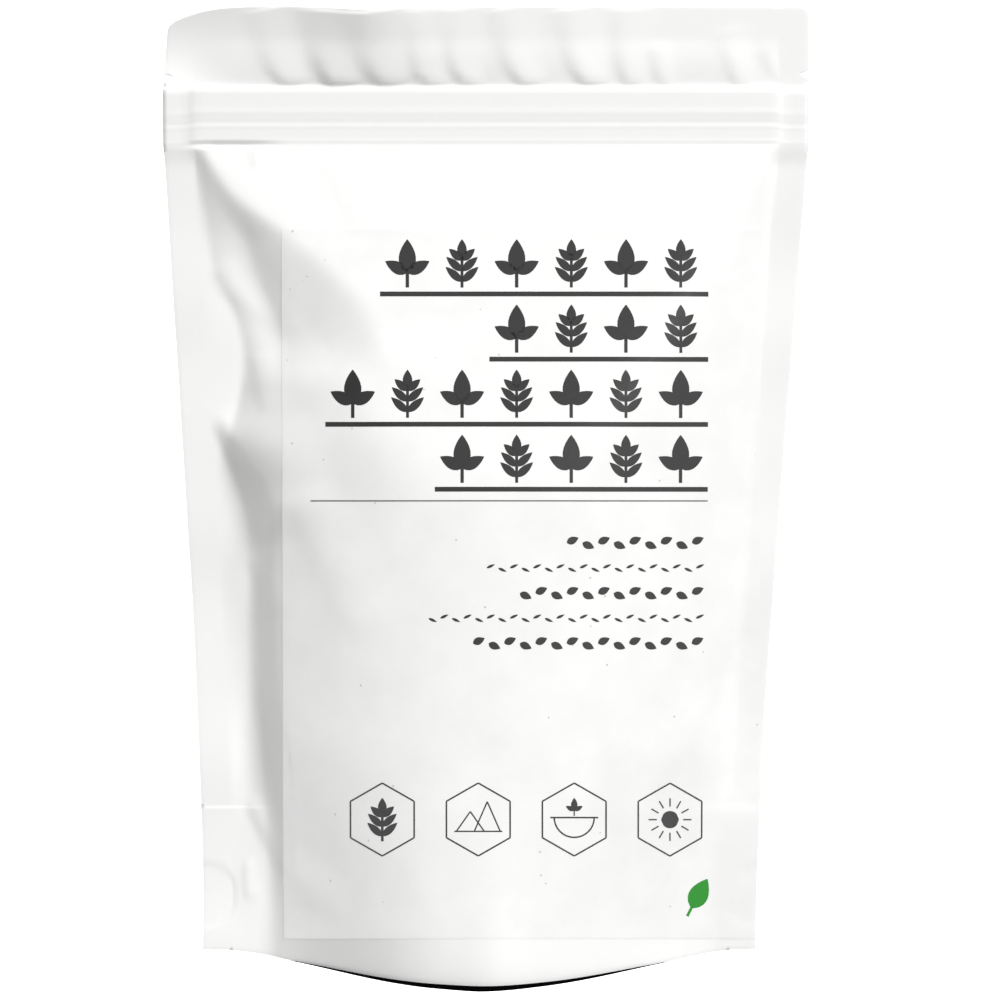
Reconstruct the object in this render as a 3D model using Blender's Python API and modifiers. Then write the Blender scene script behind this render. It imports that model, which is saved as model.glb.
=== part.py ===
"""A white stand-up pouch of dried bael leaves.

It has two film panels, an opened bottom gusset, a press zip, a front label and the loose leaves inside.
The front faces -Y and the rim of the base stands on Z = 0. Lengths are in metres.
"""

import math
import random

import bmesh
import bpy
from mathutils import Euler, Vector

MM = 0.001

# The pouch as cut and sealed, laid flat: U runs across it from the middle, V up from the bottom edge.
POUCH_WIDTH = 160 * MM
POUCH_HEIGHT = 241.4 * MM
SIDE_SEAL = 7 * MM
TOP_SEAL = 8 * MM
GUSSET_DEPTH = 40 * MM
ZIP_BOTTOM = 207.7 * MM
ZIP_TOP = 221.2 * MM
HALF_WIDTH = POUCH_WIDTH / 2
HALF_INSIDE = HALF_WIDTH - SIDE_SEAL

# Layers. Pieces that touch on the real pouch keep a small gap here.
FILM = 0.2 * MM
GAP = 0.3 * MM
LAYER_PITCH = FILM + GAP
GUSSET_CLEARANCE = 0.08 * MM

# Mesh rows of the gusset on each side: those welded to the panel, and those free up to the fold.
GUSSET_WELD_STEPS = 3
GUSSET_FREE_STEPS = 4

# The pouch as filled: the body is shorter than its film, because the film leans out to the base.
BODY_TOP = 203.7 * MM
BASE_HALF_DEPTH = 32.2 * MM
BASE_PULL_IN = 10.5 * MM
BASE_SHIFT = -1.7 * MM
CORNER_LIFT = 2.2 * MM
FLAT_RIM = 45 * MM
RIM_TRIM = 0.5 * MM

# The shoulder is the flat slope under the zip, and the belly is the rounded body that it runs into.
SHOULDER_SLOPE = 0.34
SHOULDER_ROUNDING = 2.5 * MM
BELLY_THINNING = 0.30
FOOT_SOFTNESS = 0.05
RIM_SHAPING = 60 * MM
# Where the belly starts to stand out on the left of the front: (height, distance from the middle).
LEFT_FOOT = [
    (0 * MM, 60.0 * MM),
    (146 * MM, 60.0 * MM),
    (163 * MM, 62.5 * MM),
    (172 * MM, 69.5 * MM),
    (205 * MM, 72.5 * MM),
]

# The label, on the front and to the right of the middle.
LABEL_LEFT = -53 * MM
LABEL_RIGHT = 71 * MM
LABEL_BOTTOM = 8 * MM
LABEL_TOP = 186 * MM
LABEL_THICKNESS = 0.1 * MM

# The press zip: two flat flanges with a ribbed head on one and a two-lipped channel on the other.
FLANGE = 0.25 * MM
FLANGE_INSIDE = 1.1 * MM
FLANGE_PRESSED = 0.15 * MM
FLANGE_EDGE = 0.8 * MM
PROFILE_HALF_LENGTH = 69.5 * MM
PANEL_AT_ZIP = FLANGE_INSIDE + FLANGE + GAP + FILM / 2
PANEL_AT_PRESSED_ZIP = FLANGE_PRESSED + FLANGE + GAP + FILM / 2

# The notches where the pouch is torn open, and the half rounds punched in the gusset's corners for the weld.
NOTCH_HEIGHT = 225 * MM
NOTCH_DEPTH = 3 * MM
NOTCH_OPENING = 1.2 * MM
NOTCH_OUTSIDE = 3 * MM
PUNCH_RADIUS = 8.4 * MM
PUNCH_HEIGHT = 14.5 * MM

# The header above the zip leans in waves, back where positive: (place across, spread, lean at the top).
HEADER_POCKET = 1.1 * MM
HEADER_LEANS = [
    (-84 * MM, 14 * MM, 12.0 * MM),
    (-28 * MM, 12 * MM, -2.5 * MM),
    (-25 * MM, 50 * MM, -4.0 * MM),
]
# Upright buckles just above the zip: (place across, half width, height of the bulge).
BUCKLES = [
    (-47 * MM, 6 * MM, 1.4 * MM),
    (-34 * MM, 6 * MM, 1.6 * MM),
    (-22 * MM, 5 * MM, 1.2 * MM),
    (-3 * MM, 6 * MM, 1.5 * MM),
    (12 * MM, 6 * MM, 1.2 * MM),
    (27 * MM, 6 * MM, 1.3 * MM),
    (42 * MM, 6 * MM, 1.0 * MM),
    (64 * MM, 7 * MM, 1.1 * MM),
]
# Dents where the film has spare length: (place across, height, half width, half height, depth).
FRONT_DENTS = [
    (-58 * MM, 166 * MM, 18 * MM, 14 * MM, 2.6 * MM),
    (-60 * MM, 129 * MM, 11 * MM, 9 * MM, 1.6 * MM),
    (-57 * MM, 46 * MM, 9 * MM, 22 * MM, 1.4 * MM),
]
BACK_DENTS = [
    (-66 * MM, 174 * MM, 16 * MM, 18 * MM, 3.2 * MM),
    (-65 * MM, 104 * MM, 10 * MM, 16 * MM, 2.8 * MM),
    (67 * MM, 179 * MM, 14 * MM, 16 * MM, 3.4 * MM),
    (64 * MM, 138 * MM, 11 * MM, 13 * MM, 2.8 * MM),
    (66 * MM, 62 * MM, 9 * MM, 24 * MM, 2.3 * MM),
]

# A bael leaf is three leaflets on one stalk.
LEAF_COUNT = 10
STACK_SHARE = 0.82
BLADE = 0.6 * MM
STALK_RADIUS = 0.6 * MM
PETIOLE = 26 * MM
MIDDLE_STALK = 10 * MM
MIDDLE_LEAFLET = (54 * MM, 28 * MM)
SIDE_LEAFLET = (38 * MM, 20 * MM)
SIDE_ANGLE = math.radians(58)
LEAF_SEED = 7

FRONT = -1
BACK = 1


def clear_scene():
    for obj in list(bpy.data.objects):
        bpy.data.objects.remove(obj, do_unlink=True)


def new_collection(name, hidden=False):
    collection = bpy.data.collections.new(name)
    bpy.context.scene.collection.children.link(collection)
    collection.hide_render = hidden
    return collection


def material(name, colour, roughness):
    made = bpy.data.materials.new(name)
    made.use_nodes = True
    shader = made.node_tree.nodes["Principled BSDF"]
    shader.inputs["Base Color"].default_value = (*colour, 1)
    shader.inputs["Roughness"].default_value = roughness
    shader.inputs["Metallic"].default_value = 0.0
    return made


def smooth(x):
    """0 below 0, 1 above 1 and a smooth step between."""
    x = min(1.0, max(0.0, x))
    return x * x * (3 - 2 * x)


def spread(start, stop, count):
    """The places that divide start to stop in count equal steps, without stop."""
    return [start + (stop - start) * i / count for i in range(count)]


def lines_across():
    """Where the film's mesh lines cross it, with one on each edge of the label and of the side seals."""
    label_step = 53 * MM
    return [
        *spread(-HALF_WIDTH, -HALF_INSIDE, 2),
        *spread(-HALF_INSIDE, -LABEL_RIGHT, 1),
        *spread(-LABEL_RIGHT, LABEL_LEFT, 4),
        *spread(LABEL_LEFT, label_step, 11),
        *spread(label_step, LABEL_RIGHT, 4),
        *spread(LABEL_RIGHT, HALF_INSIDE, 1),
        *spread(HALF_INSIDE, HALF_WIDTH, 2),
        HALF_WIDTH,
    ]


def lines_up():
    """Where the film's mesh lines run up it, with one on each edge of the label, the gusset and the zip."""
    zip_edge = 1.3 * MM
    return [
        -RIM_TRIM,
        *spread(0, LABEL_BOTTOM, 2),
        *spread(LABEL_BOTTOM, GUSSET_DEPTH, 5),
        *spread(GUSSET_DEPTH, LABEL_TOP, 16),
        *spread(LABEL_TOP, ZIP_BOTTOM - zip_edge, 5),
        *spread(ZIP_BOTTOM - zip_edge, ZIP_BOTTOM + zip_edge, 2),
        *spread(ZIP_BOTTOM + zip_edge, ZIP_TOP - zip_edge, 2),
        *spread(ZIP_TOP - zip_edge, ZIP_TOP + zip_edge, 2),
        *spread(ZIP_TOP + zip_edge, POUCH_HEIGHT, 5),
        POUCH_HEIGHT,
    ]


def body_height(v):
    """The height above the floor of film that is v up the flat pouch, below the header."""
    if v < ZIP_BOTTOM:
        return v * BODY_TOP / ZIP_BOTTOM
    return v - ZIP_BOTTOM + BODY_TOP


def outer_half_width(z):
    """Half the pouch's width, seals and all: the base is narrower, because it is opened out."""
    t = max(0.0, 1 - z / BODY_TOP)
    return HALF_WIDTH - BASE_PULL_IN * t * (1.3 - 0.3 * t**4)


def left_foot(z):
    """How far left of the middle the belly starts to stand out of the front at this height."""
    for (low, near), (high, far) in zip(LEFT_FOOT[:-1], LEFT_FOOT[1:]):
        if z <= high:
            return near + (far - near) * max(0.0, z - low) / (high - low)
    return LEFT_FOOT[-1][1]


def belly_depth(x, z, side):
    """How far the rounded body stands out from the plane of the side seals, with a bell-shaped rim."""
    foot = outer_half_width(z) - SIDE_SEAL
    if side == FRONT and x < 0:
        foot = min(foot, left_foot(z))
    up = min(1.0, max(0.0, z / BODY_TOP))
    full = BASE_HALF_DEPTH * (1 - BELLY_THINNING * up**1.8)
    inward = 1 - min(1.0, abs(x) / foot) ** 2.2
    softened = inward**2 / (inward + FOOT_SOFTNESS) * (1 + FOOT_SOFTNESS)
    return full * softened ** (1 + 1.2 * smooth(1 - z / RIM_SHAPING))


def film_depth(x, z, side):
    """How far a panel stands out: the shoulder and the belly, run together with a soft edge."""
    shoulder = SHOULDER_SLOPE * max(0.0, BODY_TOP - z)
    belly = belly_depth(x, z, side)
    rounding = SHOULDER_ROUNDING * smooth(shoulder / (8 * MM))
    return max(0.0, (shoulder + belly - math.hypot(shoulder - belly, rounding)) / 2)


def bump(distance, reach):
    """1 at no distance, falling smoothly to 0 at reach."""
    return smooth(1 - abs(distance) / reach)


def dent_depth(u, v, dents):
    """How far the film is pressed in at this place."""
    return sum(
        depth * bump(math.hypot((u - across) / wide, (v - up) / tall), 1.0)
        for across, up, wide, tall, depth in dents
    )


def header_lean(u):
    """How far back the top edge leans."""
    return sum(lean * math.exp(-(((u - at) / reach) ** 2)) for at, reach, lean in HEADER_LEANS)


def header_bulge(u, above_zip):
    """How far one panel stands off the other between the zip and the top seal."""
    free = POUCH_HEIGHT - TOP_SEAL - ZIP_TOP
    if above_zip >= free:
        return 0.0
    across = smooth((HALF_INSIDE - abs(u)) / (12 * MM))
    buckle = sum(height * bump(u - at, wide) for at, wide, height in BUCKLES)
    upright = math.sin(math.pi * min(1.0, above_zip / free)) ** 0.8
    return across * upright * (HEADER_POCKET + buckle)


def layer_offset(u, v):
    """Half the distance between the two panels' own middles where no filling parts them."""
    in_fin = smooth((abs(u) - LABEL_RIGHT) / (HALF_INSIDE - LABEL_RIGHT))
    zip_offset = PANEL_AT_ZIP + (PANEL_AT_PRESSED_ZIP - PANEL_AT_ZIP) * in_fin
    at_zip = smooth((v - ZIP_BOTTOM) / (1.3 * MM) + 1) * smooth((ZIP_TOP - v) / (1.3 * MM) + 1)
    at_gusset = smooth((GUSSET_DEPTH + 3 * MM - v) / (3 * MM))
    plain = LAYER_PITCH / 2
    return plain + (zip_offset - plain) * at_zip + LAYER_PITCH * at_gusset


def panel_point(u, v, side):
    """The middle of the film of one panel, at U across and V up the flat pouch."""
    z = body_height(v)
    lean = 0.0
    if v < ZIP_BOTTOM:
        chord = outer_half_width(z) - SIDE_SEAL
        turn = max(1e-6, math.atan2(2 * film_depth(0, z, side), chord))
        inside = max(-HALF_INSIDE, min(HALF_INSIDE, u))
        x = chord * math.sin(turn * inside / HALF_INSIDE) / math.sin(turn) + (u - inside)
        depth = film_depth(x, z, side)
        dents = FRONT_DENTS if side == FRONT else BACK_DENTS
        depth = max(0.0, depth - dent_depth(u, v, dents) * smooth(depth / (4 * MM)))
    else:
        x = u
        above = max(0.0, v - ZIP_TOP)
        depth = header_bulge(u, above)
        lean = header_lean(u) * (above / (POUCH_HEIGHT - ZIP_TOP)) ** 1.3
        z -= above - math.sqrt(above**2 - min(abs(lean), above) ** 2)
    x += BASE_SHIFT * max(0.0, 1 - z / BODY_TOP)
    lift = CORNER_LIFT * smooth((abs(u) - FLAT_RIM) / (HALF_WIDTH - FLAT_RIM)) * smooth(1 - v / GUSSET_DEPTH)
    return Vector((x, side * (depth + layer_offset(u, v)) + lean, z + lift))


def panel_normal(u, v, side):
    """The outward direction of a panel at this place."""
    step = 0.5 * MM
    low_u, high_u = max(u - step, -HALF_WIDTH), min(u + step, HALF_WIDTH)
    low_v, high_v = max(v - step, -RIM_TRIM), min(v + step, POUCH_HEIGHT)
    across = panel_point(high_u, v, side) - panel_point(low_u, v, side)
    up = panel_point(u, high_v, side) - panel_point(u, low_v, side)
    return (across.cross(up) * -side).normalized()


def sheet_mesh(name, columns, rows, place):
    """An open sheet of triangles with a corner at place(column, row) for each pair of lines."""
    mesh = bpy.data.meshes.new(name)
    net = bmesh.new()
    bmesh.ops.create_grid(net, x_segments=len(columns) - 1, y_segments=len(rows) - 1, size=1)
    net.verts.ensure_lookup_table()
    for index, vert in enumerate(net.verts):
        vert.co = place(columns[index % len(columns)], rows[index // len(columns)])
    bmesh.ops.triangulate(net, faces=net.faces[:], quad_method="FIXED")
    net.to_mesh(mesh)
    net.free()
    return mesh


def add_object(name, mesh, collection, finish=None):
    obj = bpy.data.objects.new(name, mesh)
    collection.objects.link(obj)
    if finish:
        mesh.materials.append(finish)
    return obj


def thicken(obj, thickness):
    """Gives an open sheet its thickness, half to each side."""
    solidify = obj.modifiers.new("thickness", "SOLIDIFY")
    solidify.thickness = thickness
    solidify.offset = 0
    return obj


def boolean(obj, other, operation):
    modifier = obj.modifiers.new(operation.lower() + " " + other.name, "BOOLEAN")
    modifier.operation = operation
    modifier.solver = "EXACT"
    modifier.object = other


def hide_helper(obj):
    obj.hide_render = True
    obj.display_type = "WIRE"
    return obj


def polygon_prism(name, outline, half_length, collection):
    """A prism along X whose section is outline, as (y, z) points."""
    curve = bpy.data.curves.new(name, "CURVE")
    curve.dimensions = "2D"
    curve.fill_mode = "BOTH"
    curve.extrude = half_length
    spline = curve.splines.new("POLY")
    spline.points.add(len(outline) - 1)
    for point, (y, z) in zip(spline.points, outline):
        point.co = (y, z, 0, 1)
    spline.use_cyclic_u = True
    holder = add_object(name + "_outline", curve, collection)
    holder.rotation_euler = (math.pi / 2, 0, math.pi / 2)
    return mesh_from_curve(holder, name, collection)


def mesh_from_curve(holder, name, collection):
    """Turns a curve object into a mesh object in the same place, with its caps welded on."""
    bpy.context.view_layer.update()
    evaluated = holder.evaluated_get(bpy.context.evaluated_depsgraph_get())
    mesh = bpy.data.meshes.new_from_object(evaluated)
    net = bmesh.new()
    net.from_mesh(mesh)
    bmesh.ops.remove_doubles(net, verts=net.verts[:], dist=1e-6)
    bmesh.ops.recalc_face_normals(net, faces=net.faces[:])
    net.to_mesh(mesh)
    net.free()
    made = add_object(name, mesh, collection)
    made.matrix_world = holder.matrix_world.copy()
    bpy.data.objects.remove(holder, do_unlink=True)
    return made


def notch_cutter(side_x, collection):
    """A small three-sided wedge across both panels, where the pouch is torn open."""
    reach = NOTCH_DEPTH + NOTCH_OUTSIDE
    bpy.ops.mesh.primitive_cylinder_add(vertices=3, radius=reach / 1.5, depth=60 * MM)
    wedge = bpy.context.object
    wedge.name = "notch_cutter_right" if side_x > 0 else "notch_cutter_left"
    tip = HALF_WIDTH - NOTCH_DEPTH
    wedge.location = (side_x * (tip + reach / 1.5), 0, body_height(NOTCH_HEIGHT))
    wedge.rotation_euler = (math.pi / 2, -side_x * math.pi / 2, 0)
    full_opening = 2 * math.tan(math.pi / 6) * reach
    wedge.scale = (2 * NOTCH_OPENING * reach / NOTCH_DEPTH / full_opening, 1, 1)
    for owner in list(wedge.users_collection):
        owner.objects.unlink(wedge)
    collection.objects.link(wedge)
    return hide_helper(wedge)


def rim_cutter(collection):
    """A slab whose top is the floor: it trims the rim of the base flat."""
    bpy.ops.mesh.primitive_cube_add(size=1, location=(0, 0, -10 * MM), scale=(0.2, 0.1, 20 * MM))
    slab = bpy.context.object
    slab.name = "rim_cutter"
    for owner in list(slab.users_collection):
        owner.objects.unlink(slab)
    collection.objects.link(slab)
    return hide_helper(slab)


def make_panel(name, side, parts, cutters, film):
    mesh = sheet_mesh(name, lines_across(), lines_up(), lambda u, v: panel_point(u, v, side))
    if side == BACK:
        mesh.flip_normals()
    panel = thicken(add_object(name, mesh, parts, film), FILM)
    for cutter in cutters:
        boolean(panel, cutter, "DIFFERENCE")
    return panel


def seal_height(u):
    """How far up the panel the gusset is welded to it: low in the middle and high at the sides."""
    middle, rise = 5 * MM, 31 * MM
    return middle + rise * min(1.0, abs(u) / HALF_INSIDE) ** 2.8


def inside_panel(u, v, side):
    """The place one layer in from a panel."""
    return panel_point(u, v, side) - panel_normal(u, v, side) * (LAYER_PITCH + GUSSET_CLEARANCE)


def gusset_point(u, step):
    """The gusset at U across. Step is below 0 in front, 0 at the fold and above 0 behind."""
    side = FRONT if step < 0 else BACK
    weld_steps, free_steps = GUSSET_WELD_STEPS, GUSSET_FREE_STEPS
    sealed = seal_height(u)
    from_rim = weld_steps + free_steps - abs(step)
    if from_rim <= weld_steps:
        up = (sealed + RIM_TRIM) * from_rim / weld_steps - RIM_TRIM
        if abs(u) >= HALF_INSIDE - 0.1 * MM:
            edge = panel_point(u, up, side)
            return Vector((edge.x, side * LAYER_PITCH / 2, edge.z))
        return inside_panel(u, up, side)
    weld = gusset_point(u, side * free_steps)
    loose = GUSSET_DEPTH - sealed
    rise = math.sqrt(max(0.0, loose**2 - weld.y**2))
    share = (from_rim - weld_steps) / free_steps
    sag = 1.5 * MM * math.sin(math.pi * share) * min(1.0, abs(weld.y) / (10 * MM))
    y = weld.y * (1 - share)
    if abs(u) >= HALF_INSIDE - 0.1 * MM and share < 1:
        y = weld.y
    return Vector((weld.x, y, weld.z + rise * share - sag))


def make_gusset(parts, cutters, rim, film):
    last = GUSSET_WELD_STEPS + GUSSET_FREE_STEPS
    steps = list(range(-last, last + 1))
    mesh = sheet_mesh("bottom_gusset", lines_across(), steps, gusset_point)
    gusset = thicken(add_object("bottom_gusset", mesh, parts, film), FILM)
    boolean(gusset, rim, "DIFFERENCE")
    for side_x in (-1, 1):
        bpy.ops.mesh.primitive_cylinder_add(vertices=24, radius=PUNCH_RADIUS, depth=10 * MM)
        punch = bpy.context.object
        punch.name = "punch_cutter_right" if side_x > 0 else "punch_cutter_left"
        edge = panel_point(side_x * HALF_WIDTH, PUNCH_HEIGHT, FRONT)
        punch.location = (edge.x, 0, edge.z)
        punch.rotation_euler = (math.pi / 2, 0, 0)
        for owner in list(punch.users_collection):
            owner.objects.unlink(punch)
        cutters.objects.link(hide_helper(punch))
        boolean(gusset, punch, "DIFFERENCE")
    return gusset


def zip_flange(name, side, parts, finish):
    """The flat tape of one zip strip, pressed thin where it runs into the side seals."""
    bottom, top = body_height(ZIP_BOTTOM) + FLANGE_EDGE, body_height(ZIP_TOP) - FLANGE_EDGE
    bend = LABEL_RIGHT
    end = HALF_WIDTH - 0.5 * MM
    columns = [-end, -HALF_INSIDE, -bend, bend, HALF_INSIDE, end]

    def place(x, z):
        pressed = smooth((abs(x) - bend) / (HALF_INSIDE - bend))
        inside = FLANGE_INSIDE + (FLANGE_PRESSED - FLANGE_INSIDE) * pressed
        return Vector((x, side * (inside + FLANGE / 2), z))

    mesh = sheet_mesh(name, columns, [bottom, top], place)
    if side == BACK:
        mesh.flip_normals()
    return thicken(add_object(name, mesh, parts, finish), FLANGE)


def zip_middle():
    return (body_height(ZIP_BOTTOM) + body_height(ZIP_TOP)) / 2


def make_zip_channel(parts, helpers, finish):
    """The front strip: two lips that hook round the head of the other strip."""
    strip = zip_flange("zip_channel_strip", FRONT, parts, finish)
    root, lip_back, lip_front = -FLANGE_INSIDE - 0.1 * MM, -0.1 * MM, 0.2 * MM
    lip_tip, wall_inside, wall_outside = 0.55 * MM, 1.2 * MM, 1.55 * MM
    middle = zip_middle()
    for name, sign in (("upper_lip", 1), ("lower_lip", -1)):
        outline = [
            (root, wall_outside),
            (root, wall_inside),
            (lip_back, wall_inside),
            (lip_back, lip_tip),
            (lip_front, lip_tip),
            (lip_front, wall_outside),
        ]
        outline = [(y, middle + sign * z) for y, z in outline]
        lip = polygon_prism(name, outline, PROFILE_HALF_LENGTH, helpers)
        boolean(strip, hide_helper(lip), "UNION")
    return strip


def make_zip_rib(parts, helpers, finish):
    """The back strip: a rib with an arrow-shaped head."""
    strip = zip_flange("zip_rib_strip", BACK, parts, finish)
    root, head_back, head_tip = FLANGE_INSIDE + 0.1 * MM, -0.4 * MM, -0.75 * MM
    neck, barb, nose = 0.2 * MM, 0.85 * MM, 0.3 * MM
    middle = zip_middle()
    half = [(root, neck), (head_back, neck), (head_back, barb), (head_tip, nose)]
    outline = [(y, middle + z) for y, z in half] + [(y, middle - z) for y, z in reversed(half)]
    rib = polygon_prism("rib", outline, PROFILE_HALF_LENGTH, helpers)
    boolean(strip, hide_helper(rib), "UNION")
    return strip


def make_label(parts, paper):
    """The front label, one layer out from the front panel and on the same mesh lines."""
    stand_off = FILM / 2 + GAP + LABEL_THICKNESS / 2
    columns = [u for u in lines_across() if LABEL_LEFT - 1e-6 <= u <= LABEL_RIGHT + 1e-6]
    rows = [v for v in lines_up() if LABEL_BOTTOM - 1e-6 <= v <= LABEL_TOP + 1e-6]

    def place(u, v):
        return panel_point(u, v, FRONT) + panel_normal(u, v, FRONT) * stand_off

    label = add_object("front_label", sheet_mesh("front_label", columns, rows, place), parts, paper)
    return thicken(label, LABEL_THICKNESS)


def leaflet(name, size, root, angle, helpers):
    """One leaf blade in the XZ plane, folded a little along its midrib, with a lightly scalloped edge."""
    length, width = size
    steps = 6
    fold = 0.5 * MM

    def place(edge, step):
        along = step / steps
        wide = math.sin(math.pi * min(1.0, along**0.75 * 0.97 + 0.03)) ** 0.8 * (1 - 0.25 * along)
        scallop = 1 + (0.05 if step % 2 else -0.05)
        half = max(0.5 * MM, width / 2 * wide * scallop)
        x, z = edge * half, along * length
        y = fold * (1 - abs(edge)) * min(1.0, half / (4 * MM))
        turned_x = x * math.cos(angle) + z * math.sin(angle)
        turned_z = z * math.cos(angle) - x * math.sin(angle)
        return Vector((root[0] + turned_x, y, root[1] + turned_z))

    mesh = sheet_mesh(name, [-1, 0, 1], list(range(steps + 1)), place)
    return thicken(add_object(name, mesh, helpers), BLADE)


def stalk(name, points, helpers):
    """A thin round stalk through (x, z) points."""
    curve = bpy.data.curves.new(name, "CURVE")
    curve.dimensions = "3D"
    curve.bevel_depth = STALK_RADIUS
    curve.bevel_resolution = 1
    curve.use_fill_caps = True
    spline = curve.splines.new("POLY")
    spline.points.add(len(points) - 1)
    for point, (x, z) in zip(spline.points, points):
        point.co = (x, 0.2 * MM, z, 1)
    return mesh_from_curve(add_object(name + "_curve", curve, helpers), name, helpers)


def leaf_mesh():
    """The three leaflets and their stalks as one body, with the stalk's foot at the origin."""
    pieces = new_collection("leaf_pieces")
    fork = PETIOLE
    stalk("petiole", [(0, 0), (0.8 * MM, fork / 2), (0, fork), (0, fork + MIDDLE_STALK + 6 * MM)], pieces)
    leaflet("middle_leaflet", MIDDLE_LEAFLET, (0, fork + MIDDLE_STALK), 0.0, pieces)
    for name, turn in (("left_leaflet", -SIDE_ANGLE), ("right_leaflet", SIDE_ANGLE)):
        reach = 5 * MM
        tip = (math.sin(turn) * reach, fork + math.cos(turn) * reach)
        stalk(name + "_stalk", [(0, fork), tip], pieces)
        start = (math.sin(turn) * 1 * MM, fork + math.cos(turn) * 1 * MM)
        leaflet(name, SIDE_LEAFLET, start, turn, pieces)
    joined = pieces.objects["petiole"]
    pieces.objects.unlink(joined)
    holder = new_collection("leaf_join")
    holder.objects.link(joined)
    union = joined.modifiers.new("union", "BOOLEAN")
    union.operation = "UNION"
    union.solver = "MANIFOLD"
    union.operand_type = "COLLECTION"
    union.collection = pieces
    bpy.context.view_layer.update()
    evaluated = joined.evaluated_get(bpy.context.evaluated_depsgraph_get())
    mesh = bpy.data.meshes.new_from_object(evaluated)
    for obj in [joined, *pieces.objects]:
        bpy.data.objects.remove(obj, do_unlink=True)
    for collection in (pieces, holder):
        bpy.data.collections.remove(collection)
    return mesh


def leaf_warp(x, z):
    """How far the stack of leaves bends at this place, so that the leaves curl together and stay apart."""
    return 1.2 * MM * math.sin(x / (17 * MM)) * math.cos(z / (31 * MM))


def make_leaves(parts, finish):
    """The leaves stand in layers that close up towards the pouch's edges, every second one stalk up."""
    shape = leaf_mesh()
    middle_of_leaf = Vector((0, 0, (PETIOLE + MIDDLE_STALK + MIDDLE_LEAFLET[0]) / 2))
    draw = random.Random(LEAF_SEED)
    for index in range(LEAF_COUNT):
        layer = (index - (LEAF_COUNT - 1) / 2) / (LEAF_COUNT / 2)
        side = FRONT if layer < 0 else BACK
        centre = Vector((draw.uniform(-11, 11) * MM, 0, draw.uniform(84, 102) * MM))
        turn = Euler((0, math.radians(180 * (index % 2) + draw.uniform(-24, 24)), 0)).to_matrix()
        size = draw.uniform(0.88, 1.0)
        mesh = shape.copy()
        for vert in mesh.vertices:
            flat = (vert.co - middle_of_leaf) * size
            flat.y = 0
            place = centre + turn @ flat
            layer_depth = layer * STACK_SHARE * film_depth(place.x, place.z, side)
            place.y = vert.co.y + layer_depth + leaf_warp(place.x, place.z)
            vert.co = place
        add_object(f"bael_leaf_{index + 1:02d}", mesh, parts, finish)


def main():
    clear_scene()
    parts = new_collection("stand_up_pouch")
    helpers = new_collection("cutters", hidden=True)
    film = material("matt white pouch film", (0.80, 0.80, 0.79), 0.45)
    paper = material("white label paper", (0.90, 0.90, 0.89), 0.55)
    tape = material("clear polythene zip tape", (0.86, 0.87, 0.87), 0.35)
    leaf = material("dried bael leaf", (0.16, 0.19, 0.07), 0.7)
    rim = rim_cutter(helpers)
    cutters = [notch_cutter(side_x, helpers) for side_x in (-1, 1)] + [rim]
    make_panel("front_panel", FRONT, parts, cutters, film)
    make_panel("back_panel", BACK, parts, cutters, film)
    make_gusset(parts, helpers, rim, film)
    make_zip_channel(parts, helpers, tape)
    make_zip_rib(parts, helpers, tape)
    make_label(parts, paper)
    make_leaves(parts, leaf)


main()
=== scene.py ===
"""Dresses the stand-up pouch: creased white film over a zip, a printed paper label and dried leaves.

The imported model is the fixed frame. Each group of pieces has its own operator; main() calls them in order.
Lengths are in metres. The front of the pouch faces -Y.
"""

import math

import bpy
import numpy as np
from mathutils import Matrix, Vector
from mathutils.bvhtree import BVHTree


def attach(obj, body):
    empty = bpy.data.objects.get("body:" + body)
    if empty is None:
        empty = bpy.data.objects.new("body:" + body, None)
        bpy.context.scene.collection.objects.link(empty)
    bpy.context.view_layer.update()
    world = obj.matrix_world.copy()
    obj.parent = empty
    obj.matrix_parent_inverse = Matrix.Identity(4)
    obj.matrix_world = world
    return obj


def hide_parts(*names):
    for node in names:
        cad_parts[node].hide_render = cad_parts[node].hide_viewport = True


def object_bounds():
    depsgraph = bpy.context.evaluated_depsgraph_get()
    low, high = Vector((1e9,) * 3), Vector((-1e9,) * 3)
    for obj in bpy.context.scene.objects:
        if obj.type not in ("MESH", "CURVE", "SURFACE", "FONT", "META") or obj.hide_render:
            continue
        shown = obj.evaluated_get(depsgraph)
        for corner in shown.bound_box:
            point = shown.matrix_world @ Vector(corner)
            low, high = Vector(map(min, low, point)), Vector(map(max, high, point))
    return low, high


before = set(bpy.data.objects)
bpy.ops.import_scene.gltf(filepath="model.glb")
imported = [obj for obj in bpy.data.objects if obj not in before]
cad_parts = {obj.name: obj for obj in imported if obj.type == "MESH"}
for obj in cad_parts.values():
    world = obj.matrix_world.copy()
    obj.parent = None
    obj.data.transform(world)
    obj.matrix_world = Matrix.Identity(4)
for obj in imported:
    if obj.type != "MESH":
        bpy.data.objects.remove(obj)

bl_info = {
    "name": "Stand-up Pouch Dressing",
    "version": (1, 0, 0),
    "blender": (4, 5, 0),
    "location": "3D View > Sidebar > Pouch",
    "description": "Adds the creased film, zip, label, leaves and studio of a stand-up pouch",
    "category": "Add Mesh",
}

MM = 0.001
FRONT = -1
BACK = 1

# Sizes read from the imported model. Its depth includes the film and the crease in the rim.
RIM_EXTRA = 0.9 * MM
MODEL_LOW, MODEL_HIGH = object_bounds()
HALF_WIDTH = (MODEL_HIGH[0] - MODEL_LOW[0]) / 2
MODEL_HEIGHT = MODEL_HIGH[2] - MODEL_LOW[2]
BASE_HALF_DEPTH = (MODEL_HIGH[1] - MODEL_LOW[1]) / 2 - RIM_EXTRA
LEAF_NODES = sorted(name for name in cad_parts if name.startswith("bael_leaf"))

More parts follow.
